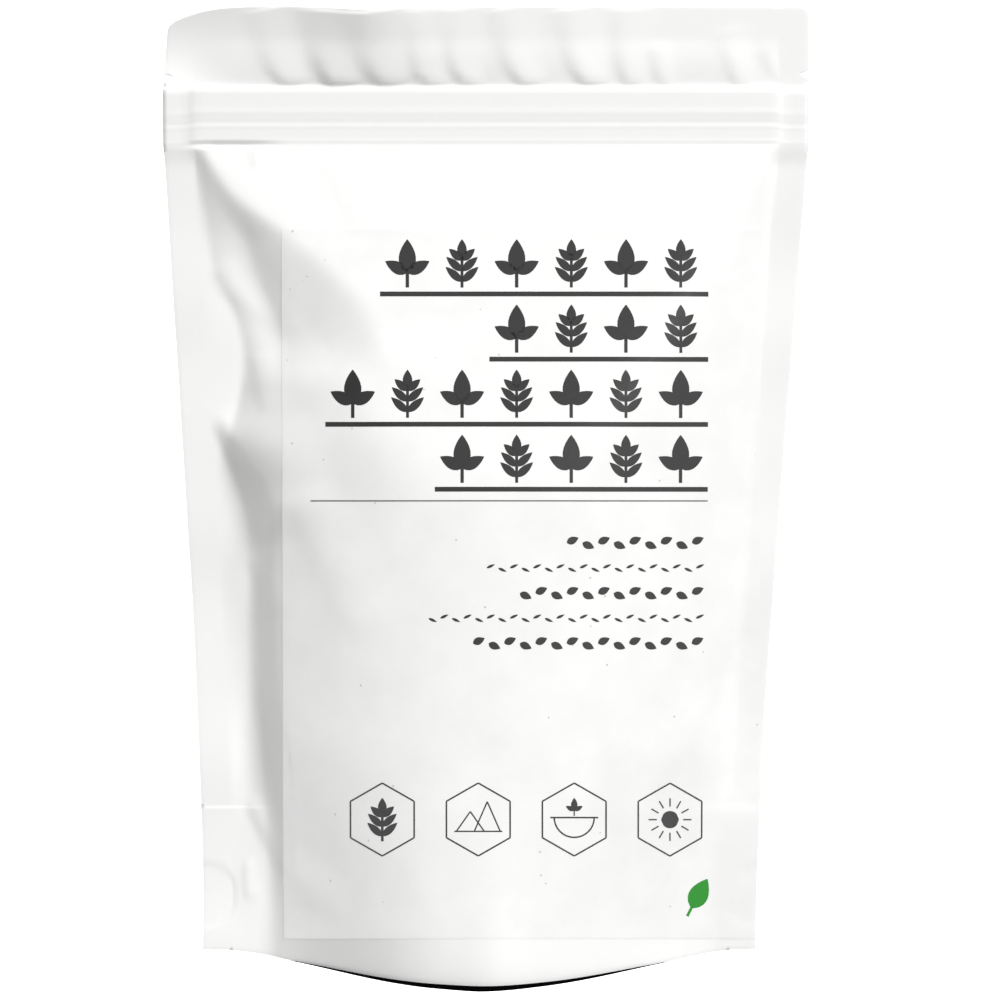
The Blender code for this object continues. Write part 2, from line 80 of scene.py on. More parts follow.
# The pouch as cut and sealed: U runs across it from the middle, V up from the bottom edge.
SIDE_SEAL = 7 * MM
HALF_INSIDE = HALF_WIDTH - SIDE_SEAL
GUSSET_DEPTH = 40 * MM
ZIP_BOTTOM = 207.7 * MM
ZIP_TOP = 221.2 * MM
# The opened base pulls the body's top down to this height above the floor, and its sides in.
BODY_TOP = 203.7 * MM
POUCH_HEIGHT = MODEL_HEIGHT - BODY_TOP + ZIP_BOTTOM
BASE_PULL_IN = 10.5 * MM
BASE_SHIFT = -1.7 * MM
CORNER_LIFT = 2.2 * MM
FLAT_RIM = 45 * MM
SEAM_GAP = 0.5 * MM
LABEL_LIFT = 0.03 * MM
INK_LIFT = 0.08 * MM

# The shoulder is the flat slope under the zip; the belly is the rounded body that it runs into.
SHOULDER_SLOPE = 0.34
SHOULDER_ROUNDING = 2.5 * MM
SHOULDER_ROUNDED_AT = 8 * MM
BELLY_THINNING = 0.30
# Where the belly starts on the left of the front, in millimetres: (height, distance from the middle).
LEFT_FOOT = [
    (0, 60.0),
    (117, 60.0),
    (122, 61.5),
    (127, 64.0),
    (131, 64.0),
    (138, 61.5),
    (150, 60.0),
    (157, 60.8),
    (163, 63.2),
    (169, 66.5),
    (175, 69.0),
    (205, 72.5),
]
# Where tucks in the film press its foot further in, in the same way.
TUCKED_FOOT = [
    (0, 58.0),
    (10, 56.0),
    (22, 54.2),
    (47, 54.8),
    (57, 56.4),
    (67, 59.0),
    (85, 59.9),
    (116, 60.0),
    (122, 64.0),
    (128, 72.0),
    (140, 80.0),
    (205, 90.0),
]
TUCK_WIDTH = 9 * MM
# The belly's section is a bell: sharper near the rim, up to this height.
RIM_SHAPING = 60 * MM
RIM_SHARPNESS = 1.2
FOOT_SOFTNESS = 0.05

# The zip as it shows through the film, in millimetres: (height above the floor, how far it stands out).
ZIP_PROFILE = [
    (180.0, 0.00),
    (196.0, 0.85),
    (202.3, 1.18),
    (203.5, 1.30),
    (204.3, 1.44),
    (205.1, 1.34),
    (207.3, 1.32),
    (207.8, 1.40),
    (208.3, 1.33),
    (208.9, 1.22),
    (209.5, 1.30),
    (210.6, 1.40),
    (211.4, 1.48),
    (212.1, 1.42),
    (212.8, 1.36),
    (216.4, 1.32),
    (217.2, 1.10),
    (218.2, 0.15),
    (219.0, 0.00),
]
# The zip's ends are crushed in the side seals: the share of its relief that is left, and the ramp to it.
ZIP_CRUSHED = 0.6
ZIP_CRUSH_RAMP = 4 * MM
# On the left the film hangs slack and leaves a groove under the zip: (place across, half width, depth).
SLACK_GROOVE = (-63 * MM, 14 * MM, 1.0 * MM)
GROOVE_HEIGHT = 203.4 * MM
GROOVE_HALF_HEIGHT = 1.3 * MM

# The header leans in waves, back where positive: (place across, spread, lean at the top edge).
HEADER_LEANS = [
    (-92 * MM, 22 * MM, 16.0 * MM),
    (-28 * MM, 14 * MM, -4.0 * MM),
    (-25 * MM, 50 * MM, -4.0 * MM),
]
# Between the zip and the top seal the panels stand apart, up to this share of the header's height.
HEADER_POCKET = 0.5 * MM
POCKET_SHARE = 0.6
HEADER_FOLD_FADE = 0.6

# Folds in the film, each from its top to its bottom in millimetres as (across, height). The film falls away
# steeply on the left of a fold and gently on the right: (points, steep widths, gentle widths, fold's height).
FRONT_FOLDS = [
    ([(-67.5, 174.5), (-63.5, 168.5), (-57.5, 164.0), (-49.0, 160.5), (-42.0, 157.0)],
     (3.0, 7.0), (8.0, 12.0), 0.5),
    ([(-57.0, 152.0), (-55.5, 144.0), (-53.0, 136.0)], (2.0, 3.0), (6.0, 6.0), 0.35),
    ([(-48.0, 118.0), (-41.0, 108.0), (-35.0, 97.0), (-32.5, 88.0), (-33.0, 79.0)],
     (6.0, 10.0), (12.0, 16.0), 1.1),
    ([(-57.5, 102.0), (-54.0, 94.0), (-49.5, 86.0)], (2.5, 4.0), (7.0, 8.0), 0.5),
    ([(-58.0, 42.0), (-54.0, 34.0), (-48.5, 25.0), (-41.0, 18.0), (-33.0, 12.5)],
     (3.0, 6.0), (6.0, 10.0), 0.8),
    ([(-58.3, 24.5), (-58.6, 19.0), (-58.0, 13.0)], (1.2, 1.6), (3.0, 4.0), 0.3),
    ([(-39.0, 201.0), (-34.0, 192.0), (-27.0, 180.0)], (5.0, 6.0), (8.0, 9.0), 0.22),
    ([(-57.2, 202.5), (-57.0, 197.5)], (1.2, 1.2), (3.0, 3.0), 0.35),
]
# The long fold from the corner under the zip down into the belly. Left of its crest the film is lower, in
# millimetres: (height, crest's place across, drop, width of the slope).
SHOULDER_CREST = [
    (143.0, -23.0, 0.0, 14.0),
    (147.0, -22.5, 1.5, 15.0),
    (152.0, -22.8, 5.2, 17.0),
    (162.0, -26.5, 6.5, 20.0),
    (170.7, -34.0, 5.6, 20.0),
    (180.0, -45.0, 3.8, 16.0),
    (185.7, -54.0, 2.5, 12.0),
    (190.7, -61.5, 1.6, 8.0),
    (196.5, -67.7, 0.8, 4.5),
    (202.0, -71.7, 0.0, 3.0),
]
# The slope fades out towards the belly's foot.
CREST_FADE = 12 * MM
# Values from tables are averaged over these steps up and down, in millimetres.
EASING = (-4.0, -2.7, -1.3, 0.0, 1.3, 2.7, 4.0)
# How a fold rises at its start and dies away at its end, as shares of its length.
TAPERS = (0.12, 0.25)
SLOW_TAPERS = (0.25, 0.3)
RIM_TAPERS = (0.8, 0.01)
HEADER_TAPERS = (0.02, 0.06)
# Folds that rise slowly from their upper end, listed as the others are.
SLOW_FOLDS = [
    ([(-66.0, 138.0), (-61.0, 130.0), (-55.0, 121.0), (-49.0, 104.0)], (4.0, 9.0), (19.0, 20.0), 3.2),
]
# The middle of the rim is bent to a blunt point.
RIM_CREASE = [([(3.5, 34.0), (2.5, 0.0), (2.5, -9.0)], (3.0, 14.0), (3.0, 16.0), 1.0)]
BACK_FOLDS = [
    ([(-70.0, 200.0), (-62.0, 186.0), (-50.0, 172.0), (-34.0, 160.0)], (3.0, 10.0), (6.0, 14.0), 1.6),
    ([(-66.0, 120.0), (-60.0, 108.0), (-52.0, 96.0)], (3.0, 5.0), (5.0, 8.0), 1.4),
    ([(-60.0, 62.0), (-55.0, 48.0), (-50.0, 40.0)], (3.0, 4.0), (4.0, 6.0), 1.1),
    ([(44.0, 160.0), (58.0, 172.0), (70.0, 200.0)], (8.0, 3.0), (12.0, 6.0), -1.4),
    ([(66.0, 140.0), (60.0, 128.0), (52.0, 116.0)], (3.0, 5.0), (5.0, 8.0), 1.3),
]
# Upright folds of the header above the zip.
HEADER_FOLDS = [
    ([(-54.5, 237.0), (-52.2, 224.0), (-48.6, 216.5)], (8.0, 2.0), (16.0, 8.0), 1.0),
    ([(-40.0, 237.0), (-40.2, 226.0), (-37.2, 216.5)], (9.0, 2.2), (16.0, 9.0), 1.5),
    ([(-29.5, 237.0), (-28.2, 224.0), (-24.1, 216.5)], (8.0, 2.0), (14.0, 8.0), 1.1),
    ([(-17.0, 237.0), (-16.2, 222.0), (-12.9, 216.5)], (6.0, 1.6), (10.0, 6.0), 0.7),
    ([(-8.0, 237.0), (-7.2, 223.0), (-3.9, 216.5)], (6.0, 1.6), (10.0, 6.0), 0.8),
    ([(4.0, 237.0), (6.3, 224.0), (10.6, 216.5)], (6.0, 1.8), (10.0, 7.0), 0.9),
    ([(20.5, 237.0), (22.3, 224.0), (25.9, 216.5)], (7.0, 1.8), (12.0, 7.0), 1.0),
    ([(34.0, 237.0), (34.3, 224.0), (35.6, 216.5)], (6.0, 1.7), (10.0, 6.0), 0.7),
    ([(42.0, 228.0), (44.1, 216.5)], (4.0, 1.4), (6.0, 4.0), 0.5),
    ([(59.0, 232.0), (62.9, 216.5)], (5.0, 1.6), (8.0, 5.0), 0.5),
    ([(69.0, 228.0), (74.6, 217.5)], (4.0, 1.6), (6.0, 4.0), 0.5),
]

# The notches where the pouch is torn open, and the rounded top corners.
NOTCH_HEIGHT = 225 * MM
NOTCH_DEPTH = 2.2 * MM
NOTCH_OPENING = 0.9 * MM
CORNER_RADIUS = 2.0 * MM
# The side seals bend a little to front and back on their way up: (wave length, height of the wave, shift).
SEAL_WAVES = [(61 * MM, 0.45 * MM, 0.4), (97 * MM, 0.5 * MM, 2.6), (29 * MM, 0.12 * MM, 1.3)]
# The gusset behind the film's lower part shows as a step, and so do the half rounds punched in its corners.
GUSSET_STEP = 0.22 * MM
GUSSET_STEP_TOP = 38.6 * MM
PUNCH_HEIGHT = 14.5 * MM
# The back's mesh is coarser than the front's by this factor.
BACK_COARSENESS = 1.6
# The gusset: its mesh, its weld, and how far it lies inside the panels, welded and open.
GUSSET_STEP_ACROSS = 2 * MM
WELD_LOW = 5 * MM
WELD_HIGH = 36 * MM
WELD_CURVE = 2.8
WELD_ROWS = 12
ARCH_ROWS = 8
WELDED_APART = 0.8 * MM
WELD_INSET = 0.17 * MM
OPEN_INSET = 0.35 * MM
GUSSET_SAG = 1.5 * MM
PUNCH_RADIUS = 8.4 * MM

# The shade where the rim meets the floor.
SHADE_REACH = 53 * MM
SHADE_WIDTH = 6.2 * MM
SHADE_COLUMNS = 91
SHADE_LIFT = 0.05 * MM

# The camera, and the label as seen from it: places on the plane of the side seals.
EYE = Vector((0.0035, -0.700, 0.1475))
LENS = 101.0
PITCH = math.radians(2.64)
LABEL_LEFT = -50.75 * MM
LABEL_RIGHT = 68.5 * MM
LABEL_BOTTOM = 4.75 * MM
LABEL_TOP = 182.75 * MM
LABEL_FACES = (109, 163)
EDGE_TRIES = 12
EDGE_TRY_STEP = 0.25 * MM

# The print, placed on the plane of the side seals as the label's edges are, and lined up on its right.
PRINT_RIGHT = 55.25 * MM
# Rows of bold sprays over a thick rule: (height of the rule, number of sprays).
SPRAY_ROWS = [(166.5 * MM, 6), (150.3 * MM, 4), (134.1 * MM, 7), (117.9 * MM, 5)]
SPRAY_PITCH = 13.6 * MM
SPRAY_HEIGHT = 12.0 * MM
THICK_RULE = 1.2 * MM
THIN_RULE = 0.28 * MM
THIN_RULE_HEIGHT = 115.0 * MM
THIN_RULE_LENGTH = 99 * MM
# Rows of seeds, bold or fine in turn: (height, length of the row).
SEED_ROWS = [
    (104.5 * MM, 38 * MM),
    (98.2 * MM, 56 * MM),
    (91.9 * MM, 47 * MM),
    (85.6 * MM, 72 * MM),
    (79.3 * MM, 62 * MM),
]
# Seeds: (pitch, length, width).
BOLD_SEED = (3.9 * MM, 3.2 * MM, 1.9 * MM)
FINE_SEED = (2.9 * MM, 2.3 * MM, 0.7 * MM)
BADGE_HEIGHT = 34.95 * MM
BADGE_PITCH = 24 * MM
BADGE_RADIUS = 9.2 * MM
OUTLINE = 0.4 * MM
FINE_LINE = 0.35 * MM
MARK_PLACE = (50.5 * MM, 10.5 * MM)
MARK_SIZE = (8.5 * MM, 5 * MM)

# Sizes of the patterns in the materials.
FILM_CRUMPLE = 3.85 * MM
FILM_HAZE = 0.714 * MM
FLECK_SPACING = 5.88 * MM
PAPER_CLOUD = 11.1 * MM
INK_COVER = 1.11 * MM
DRAWN_LINE_LENGTH = 25 * MM
DRAWN_LINE_WIDTH = 1.11 * MM
LEAF_PATCH = 8.33 * MM

# The studio: the background paper's profile from front to back as (y, z) in metres, and the lights.
PAPER_PROFILE = [(-3.0, 0.0), (1.2, 0.0), (1.45, 0.05), (1.6, 0.2), (1.65, 0.45), (1.65, 3.0)]
PAPER_HALF_WIDTH = 4.0
KEY_PLACE = (2.8, -3.5, 2.9)
KEY_SIZE = 2.0
BOUNCE_PLACE = (-0.052, -0.095, 0.004)
BOUNCE_SIZE = 0.08
BOUNCE_TARGET = (-0.02, -BASE_HALF_DEPTH, 0.012)
# The light from all round, from straight below at 0 to straight above at 1: (place, brightness).
SKY = [(0.40, 0.25), (0.55, 0.7), (0.85, 1.0)]
SKY_STRENGTH = 0.87


def linear(hex_colour):
    """A linear RGBA colour from an sRGB hex string such as 'F2F2F0'."""
    channels = [int(hex_colour[i:i + 2], 16) / 255 for i in (0, 2, 4)]
    return (*[c / 12.92 if c <= 0.04045 else ((c + 0.055) / 1.055) ** 2.4 for c in channels], 1.0)


def smooth(x):
    """0 below 0, 1 above 1 and a smooth step between, for numbers or arrays."""
    x = np.clip(x, 0.0, 1.0)
    return x * x * (3 - 2 * x)


# The shape of the film.


def body_height(v):
    """The height above the floor of film that is v up the flat pouch, before the header leans."""
    return np.where(v < ZIP_BOTTOM, v * BODY_TOP / ZIP_BOTTOM, v - ZIP_BOTTOM + BODY_TOP)


def outer_half_width(z):
    """Half the pouch's width, seals and all: the base is narrower, because it is opened out."""
    t = np.clip(1 - z / BODY_TOP, 0.0, 1.0)
    return HALF_WIDTH - BASE_PULL_IN * t * (1.3 - 0.3 * t**4)


def eased(z, heights, values):
    """Values in millimetres from a table, averaged over some heights so that its corners don't show."""
    return sum(np.interp(z / MM + shift, heights, values) for shift in EASING) / len(EASING) * MM


def belly_depth(x, z, side):
    """How far the rounded body stands out from the plane of the seals."""
    up = np.clip(z / BODY_TOP, 0.0, 1.0)
    foot = outer_half_width(z) - SIDE_SEAL
    if side == FRONT:
        heights, distances = zip(*LEFT_FOOT)
        left_foot = np.minimum(foot, eased(z, heights, distances))
        foot = np.where(x < 0, left_foot, foot)
    across = np.clip(np.abs(x) / foot, 0.0, 1.0)
    full = BASE_HALF_DEPTH * (1 - BELLY_THINNING * up**1.8)
    inward = 1 - across**2.2
    inward = inward**2 / (inward + FOOT_SOFTNESS) * (1 + FOOT_SOFTNESS)
    depth = full * inward ** (1 + RIM_SHARPNESS * smooth(1 - z / RIM_SHAPING))
    if side == FRONT:
        heights, distances = zip(*TUCKED_FOOT)
        tucked = smooth((eased(z, heights, distances) + x) / TUCK_WIDTH)
        depth = depth * np.where(x < 0, tucked, 1.0)
    return depth


def film_depth(x, z, side):
    """The depth of the shoulder and the belly run together with a soft edge."""
    shoulder = SHOULDER_SLOPE * np.clip(BODY_TOP - z, 0.0, None)
    belly = belly_depth(x, z, side)
    rounding = SHOULDER_ROUNDING * smooth(shoulder / SHOULDER_ROUNDED_AT)
    lower = (shoulder + belly - np.sqrt((shoulder - belly) ** 2 + rounding**2)) / 2
    return np.clip(lower, 0.0, None)


def nearest_on_line(x, z, points):
    """How far along a line each place is, from 0 to 1, and how far off it, positive on the left."""
    points = np.array(points) * MM
    lengths = np.linalg.norm(np.diff(points, axis=0), axis=1)
    starts = np.concatenate([[0], np.cumsum(lengths)[:-1]])
    best = np.full(x.shape, np.inf)
    along = np.zeros(x.shape)
    signed = np.zeros(x.shape)
    for (ax, az), (bx, bz), length, start in zip(points[:-1], points[1:], lengths, starts):
        step_x, step_z = (bx - ax) / length, (bz - az) / length
        travelled = np.clip((x - ax) * step_x + (z - az) * step_z, 0, length)
        away_x, away_z = x - ax - step_x * travelled, z - az - step_z * travelled
        distance = np.hypot(away_x, away_z)
        side = np.where(step_x * away_z - step_z * away_x > 0, -1.0, 1.0)
        closer = distance < best
        best = np.where(closer, distance, best)
        along = np.where(closer, (start + travelled) / lengths.sum(), along)
        signed = np.where(closer, side * distance, signed)
    return along, signed


def fold_height(x, z, folds, tapers=TAPERS):
    """How far the folds stand out at each place."""
    start_taper, end_taper = tapers
    total = np.zeros(x.shape)
    for points, steep, gentle, height in folds:
        along, distance = nearest_on_line(x, z, points)
        steep_width = (steep[0] + (steep[1] - steep[0]) * along) * MM
        gentle_width = (gentle[0] + (gentle[1] - gentle[0]) * along) * MM
        left = smooth(1 - distance / steep_width)
        right = smooth(1 + distance / gentle_width)
        taper = smooth(along / start_taper) * smooth((1 - along) / end_taper)
        total += height * MM * taper * np.where(distance > 0, left, right)
    return total


def shoulder_drop(x, z):
    """How much lower the film is to the left of the long fold from the corner under the zip."""
    heights, crest, drop, width = (np.array(column) for column in zip(*SHOULDER_CREST))
    behind = (eased(z, heights, crest) - x) / eased(z, heights, width)
    foot = eased(z, *zip(*LEFT_FOOT))
    return eased(z, heights, drop) * smooth(behind) * smooth((foot + x) / CREST_FADE)


def header_lean(u):
    """How far back the top edge leans."""
    return sum(lean * np.exp(-(((u - at) / reach) ** 2)) for at, reach, lean in HEADER_LEANS)


def zip_relief(u, z):
    """How far the film stands out over the zip."""
    heights, relief = zip(*ZIP_PROFILE)
    crushed = smooth((np.abs(u) - HALF_INSIDE + ZIP_CRUSH_RAMP / 2) / ZIP_CRUSH_RAMP)
    shown = np.interp(z / MM + 0.5 * crushed, heights, relief) * MM
    at, half_width, depth = SLACK_GROOVE
    groove = depth * smooth(1.3 - 1.3 * np.abs(u - at) / half_width)
    groove = groove * smooth(1 - np.abs(z - GROOVE_HEIGHT) / GROOVE_HALF_HEIGHT)
    off_seal = smooth((HALF_INSIDE - np.abs(u)) / (4 * MM))
    in_body = smooth((BODY_TOP - z) / (1 * MM))
    at_zip = shown * (1 - (1 - ZIP_CRUSHED) * crushed) - groove
    fading = smooth((z / MM - 198.0) / 5.0)
    return at_zip * (1 - in_body * (1 - off_seal) * (1 - fading))


def gusset_relief(u, z):
    """How far the film stands out over the gusset where it is sealed to it at the sides."""
    at_side = smooth((np.abs(u) - 56 * MM) / (6 * MM))
    in_gusset = smooth((GUSSET_STEP_TOP - z) / (0.8 * MM))
    from_punch = np.hypot(HALF_WIDTH - np.abs(u), z - PUNCH_HEIGHT)
    outside_punch = smooth((from_punch - PUNCH_RADIUS) / (0.8 * MM))
    return GUSSET_STEP * at_side * in_gusset * outside_punch


def cut_edge(u, v):
    """Draws the side seals in to the tear notches and the rounded top corners."""
    notch = NOTCH_DEPTH * np.clip(1 - np.abs(v - NOTCH_HEIGHT) / NOTCH_OPENING, 0, 1)
    into_corner = np.clip(v - (POUCH_HEIGHT - CORNER_RADIUS), 0, CORNER_RADIUS)
    corner = CORNER_RADIUS - np.sqrt(np.clip(CORNER_RADIUS**2 - into_corner**2, 0, None))
    share = np.clip((np.abs(u) - HALF_INSIDE) / SIDE_SEAL, 0, 1)
    return u - np.sign(u) * share * (notch + corner)


def film_points(u, v, side):
    """The middle of one panel's film at U across and V up the flat pouch, as an array of points."""
    u = cut_edge(u, v)
    z = body_height(v)
    inside = np.clip(u, -HALF_INSIDE, HALF_INSIDE)
    chord = outer_half_width(z) - SIDE_SEAL
    turn = np.arctan2(2 * film_depth(np.zeros_like(z), z, side), chord)
    x_body = chord * np.sin(turn * inside / HALF_INSIDE) / np.sin(np.maximum(turn, 1e-6)) + (u - inside)
    in_body = v < ZIP_BOTTOM
    x = np.where(in_body, x_body, u)

    free = smooth((HALF_INSIDE - np.abs(u)) / (3 * MM))
    depth = film_depth(x, z, side)
    folds = FRONT_FOLDS if side == FRONT else BACK_FOLDS
    below_zip = smooth((BODY_TOP - z) / (2 * MM))
    if side == FRONT:
        depth = depth - shoulder_drop(x, z) + fold_height(x, z, SLOW_FOLDS, SLOW_TAPERS)
    depth = depth + fold_height(x, z, folds) * free * below_zip + fold_height(x, z, RIM_CREASE, RIM_TAPERS)

    above = np.clip(v - ZIP_TOP, 0, None)
    header_share = above / (POUCH_HEIGHT - ZIP_TOP)
    pocket = HEADER_POCKET * np.sin(np.pi * np.clip(header_share / POCKET_SHARE, 0, 1))
    pocket = pocket * smooth((HALF_INSIDE - np.abs(u)) / (12 * MM))
    fade = 1 - HEADER_FOLD_FADE * smooth(header_share / POCKET_SHARE)
    header_folds = fold_height(x, z, HEADER_FOLDS, HEADER_TAPERS) * smooth(header_share * 8) * free * fade
    lean = header_lean(u) * header_share
    together = header_folds * smooth(header_share / 0.5)
    if side == FRONT:
        header = header_folds - together + pocket
        depth = depth + zip_relief(u, z) + gusset_relief(u, z)
    else:
        header = pocket
        depth = depth + zip_relief(u, z)
    waves = sum(high * np.sin(2 * np.pi * z / long + shift + np.sign(u)) for long, high, shift in SEAL_WAVES)
    at_seal = smooth((np.abs(u) - HALF_INSIDE + 10 * MM) / (10 * MM)) * smooth(z / (20 * MM)) * in_body
    waves = waves * at_seal * smooth((BODY_TOP - z) / (25 * MM))
    y = side * (depth + header + SEAM_GAP / 2) + lean - together + waves
    drop = above - np.sqrt(np.clip(above**2 - np.minimum(np.abs(lean), above) ** 2, 0, None))
    edge_lift = CORNER_LIFT * smooth((np.abs(u) - FLAT_RIM) / (HALF_WIDTH - FLAT_RIM))
    z = z - drop + edge_lift * smooth(1 - v / GUSSET_DEPTH)
    x = x + BASE_SHIFT * np.clip(1 - z / BODY_TOP, 0, 1)
    return np.stack([x, y, z], axis=-1)


def steps_between(stops):
    """Places along a line from (place, step after it) pairs, with a place at each stop."""
    places = []
    for (start, step), (stop, _) in zip(stops[:-1], stops[1:]):
        count = max(1, round((stop - start) / step))
        places += [start + (stop - start) * i / count for i in range(count)]
    return np.array(places + [stops[-1][0]])


def film_columns(step):
    """Places across the pouch, close together at the inner edges of the side seals."""
    return steps_between([
        (-HALF_WIDTH, step),
        (-HALF_INSIDE - 1 * MM, 0.5 * MM),
        (-HALF_INSIDE + 1 * MM, step),
        (HALF_INSIDE - 1 * MM, 0.5 * MM),
        (HALF_INSIDE + 1 * MM, step),
        (HALF_WIDTH, step),
    ])


def film_rows(step):
    """Places up the pouch, close together at the gusset's top, the zip, the notches and the corners."""
    zip_step = 0.3 * step
    gusset_top = GUSSET_STEP_TOP * ZIP_BOTTOM / BODY_TOP
    return steps_between([
        (0, step),
        (gusset_top - 1 * MM, zip_step),
        (gusset_top + 0.5 * MM, step),
        (ZIP_BOTTOM - 2.2 * MM, zip_step),
        (ZIP_TOP + 2 * MM, step),
        (NOTCH_HEIGHT - NOTCH_OPENING, NOTCH_OPENING / 2),
        (NOTCH_HEIGHT + NOTCH_OPENING, step),
        (POUCH_HEIGHT - CORNER_RADIUS, CORNER_RADIUS / 4),
        (POUCH_HEIGHT, step),
    ])


# Mesh and material helpers.


def grid_mesh(name, *grids):
    """A mesh of four-sided faces from one or more arrays of rows of points."""
    points, faces = [], []
    for grid in grids:
        rows, columns = grid.shape[:2]
        index = len(points) + np.arange(rows * columns).reshape(rows, columns)
        corners = [index[:-1, :-1], index[:-1, 1:], index[1:, 1:], index[1:, :-1]]
        faces += np.stack(corners, axis=-1).reshape(-1, 4).tolist()
        points += grid.reshape(-1, 3).tolist()
    mesh = bpy.data.meshes.new(name)
    mesh.from_pydata(points, [], faces)
    mesh.shade_smooth()
    return mesh


def add_piece(name, mesh, finish, replaces=()):
    """Puts a mesh in the scene as a piece that rides on the pouch."""
    piece = bpy.data.objects.new(name, mesh)
    bpy.context.scene.collection.objects.link(piece)
    mesh.materials.append(finish)
    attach(piece, "root")
    if replaces:
        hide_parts(*replaces)
    return piece


def thicken(piece, thickness, offset=0.0):
    """Gives a sheet its thickness."""
    solidify = piece.modifiers.new("thickness", "SOLIDIFY")
    solidify.thickness = thickness
    solidify.offset = offset
    solidify.use_even_offset = False
    normals = piece.modifiers.new("normals", "WEIGHTED_NORMAL")
    normals.mode = "FACE_AREA"
    normals.weight = 100


def new_material(name):
    """A new material with its tree and Principled shader."""
    made = bpy.data.materials.new(name)
    made.use_nodes = True
    return made, made.node_tree, made.node_tree.nodes["Principled BSDF"]


def node(tree, kind, settings=None, **links):
    """Adds a node, sets its properties and named inputs, and links any input that is given a socket."""
    added = tree.nodes.new(kind)
    for key, value in (settings or {}).items():
        setattr(added, key, value)
    for key, value in links.items():
        socket = added.inputs[int(key[1:])] if key[0] == "i" and key[1:].isdigit() else added.inputs[key]
        if isinstance(value, bpy.types.NodeSocket):
            tree.links.new(value, socket)
        else:
            socket.default_value = value
    return added


def set_shader(shader, colour, roughness, ior=1.5, **others):
    """Sets the even values of a shader. Others are inputs with an underscore for each space in their name."""
    shader.inputs["Base Color"].default_value = linear(colour)
    shader.inputs["Roughness"].default_value = roughness
    shader.inputs["IOR"].default_value = ior
    shader.inputs["Metallic"].default_value = 0.0
    for name, value in others.items():
        shader.inputs[name.replace("_", " ")].default_value = value


def ramp(tree, factor, stops):
    """A colour ramp on a socket, from (place, linear colour) stops."""
    made = node(tree, "ShaderNodeValToRGB", Fac=factor)
    elements = made.color_ramp.elements
    while len(elements) < len(stops):
        elements.new(0.5)
    for element, (place, colour) in zip(elements, stops):
        element.position = place
        element.color = colour
    return made.outputs["Color"]


def laminate_film(settings):
    """Matt-varnished polyester film laminated to polythene.

    The varnish gives an even white with a soft sheen, and handling leaves a faint crumpling and haze. The
    haze is drawn coarser than life, or it would not show.
    """
    made, tree, shader = new_material("matt laminated film")
    set_shader(shader, settings.film_colour, 0.46, 1.5)
    place = node(tree, "ShaderNodeTexCoord").outputs["Object"]
    crumple = node(tree, "ShaderNodeTexNoise", Vector=place, Scale=1 / FILM_CRUMPLE, Detail=3.0)
    haze = node(tree, "ShaderNodeTexNoise", Vector=place, Scale=1 / FILM_HAZE, Detail=2.0)
    coarse = node(tree, "ShaderNodeBump", Height=crumple.outputs["Fac"], Strength=0.06, Distance=0.4 * MM)
    fine = node(
        tree, "ShaderNodeBump", Height=haze.outputs["Fac"], Normal=coarse.outputs["Normal"],
        Strength=0.05, Distance=0.05 * MM,
    )
    tree.links.new(fine.outputs["Normal"], shader.inputs["Normal"])
    rough = node(tree, "ShaderNodeMapRange", Value=crumple.outputs["Fac"])
    rough.inputs["To Min"].default_value = 0.40
    rough.inputs["To Max"].default_value = 0.54
    tree.links.new(rough.outputs["Result"], shader.inputs["Roughness"])
    return made


def label_paper(settings):
    """Uncoated recycled label paper.

    Its fibres give a dull, faintly clouded white with sparse dark flecks. A faint even glow is painted light:
    it keeps the label bright where it turns from the light, and so flattens its shading.
    """
    made, tree, shader = new_material("flecked label paper, painted glow")
    # The emission is a painted glow that lifts the label where it faces away from the light; the paper colour
    # is set darker to balance it.
    set_shader(shader, settings.label_colour, 0.62, 1.5, Emission_Color=(1, 1, 1, 1), Emission_Strength=0.33)
    place = node(tree, "ShaderNodeTexCoord").outputs["Object"]
    flecks = node(tree, "ShaderNodeTexVoronoi", {"feature": "F1"}, Vector=place, Scale=1 / FLECK_SPACING)
    chosen = node(tree, "ShaderNodeSeparateColor", Color=flecks.outputs["Color"])
    small = node(tree, "ShaderNodeMath", {"operation": "LESS_THAN"}, i0=flecks.outputs["Distance"], i1=0.05)
    few = node(tree, "ShaderNodeMath", {"operation": "GREATER_THAN"}, i0=chosen.outputs["Red"], i1=0.15)
    fleck = node(tree, "ShaderNodeMath", {"operation": "MULTIPLY"}, i0=small.outputs[0], i1=few.outputs[0])
    cloud = node(tree, "ShaderNodeTexNoise", Vector=place, Scale=1 / PAPER_CLOUD, Detail=4.0)
    paper = ramp(tree, cloud.outputs["Fac"], [(0.3, linear("BEBEBC")), (0.7, linear(settings.label_colour))])
    mixed = node(
        tree, "ShaderNodeMix", {"data_type": "RGBA"},
        Factor=fleck.outputs[0], A=paper, B=linear("8C8A86"),
    )
    tree.links.new(mixed.outputs["Result"], shader.inputs["Base Color"])
    return made


def printing_ink(name, colour):
    """Dried offset ink: matt, soaked into the paper, with a slightly uneven cover."""
    made, tree, shader = new_material(name)
    set_shader(shader, colour, 0.55, 1.5)
    place = node(tree, "ShaderNodeTexCoord").outputs["Object"]
    cover = node(tree, "ShaderNodeTexNoise", Vector=place, Scale=1 / INK_COVER, Detail=2.0)
    rough = node(tree, "ShaderNodeMapRange", Value=cover.outputs["Fac"])
    rough.inputs["To Min"].default_value = 0.48
    rough.inputs["To Max"].default_value = 0.64
    tree.links.new(rough.outputs["Result"], shader.inputs["Roughness"])
    return made


